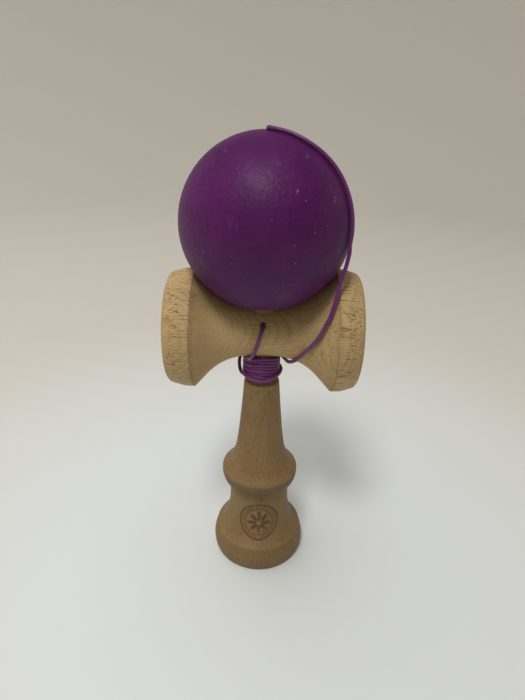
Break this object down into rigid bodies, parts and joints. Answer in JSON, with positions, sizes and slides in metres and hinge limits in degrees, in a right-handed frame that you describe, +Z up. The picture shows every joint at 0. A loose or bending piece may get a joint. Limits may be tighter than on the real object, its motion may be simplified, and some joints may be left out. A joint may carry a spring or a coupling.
{
  "type": "kendama",
  "caption": "Wooden cup-and-ball toy: a turned handle with a spike and a base cup, a crosspiece with a cup at each end, and a painted ball tied on a string wound round the neck.",
  "frame": {"origin": "middle of the base cup's rim, on the surface the toy stands on", "axes": "+Z up the handle and the spike, +X to the big cup of the crosspiece, -Y the side of the crosspiece's string hole"},
  "size_m": [0.07, 0.06, 0.1774],
  "materials": {
    "handle_wood": "bare fine-grained hardwood, brown, satin from handling",
    "cup_wood": "bare pale beech with short dark flecks",
    "ball_paint": "wooden ball under a satin, slightly rubbery purple paint",
    "bead_wood": "bare turned wood",
    "string_cord": "braided purple cord"
  },
  "bodies": {
    "ken": {"ken": "handle_wood", "sarado": "cup_wood", "string_knot_ken": "string_cord", "string_start": "string_cord", "string_wrap": "string_cord", "string_lead": "string_cord"},
    "string_end": {"tama_bead": "bead_wood", "string_knot_tama": "string_cord", "string_over_ball": "string_cord"},
    "tama": {"tama": "ball_paint"}
  },
  "joints": [
    {"name": "tama_lift", "type": "slide", "parent": "ken", "child": "string_end", "axis": [0, 0, 1], "range_m": [0, 0.014]},
    {"name": "tama_spin", "type": "hinge", "parent": "string_end", "child": "tama", "pos_m": [0, 0, 0.146], "axis": [0, 0, 1], "continuous": true}
  ]
}
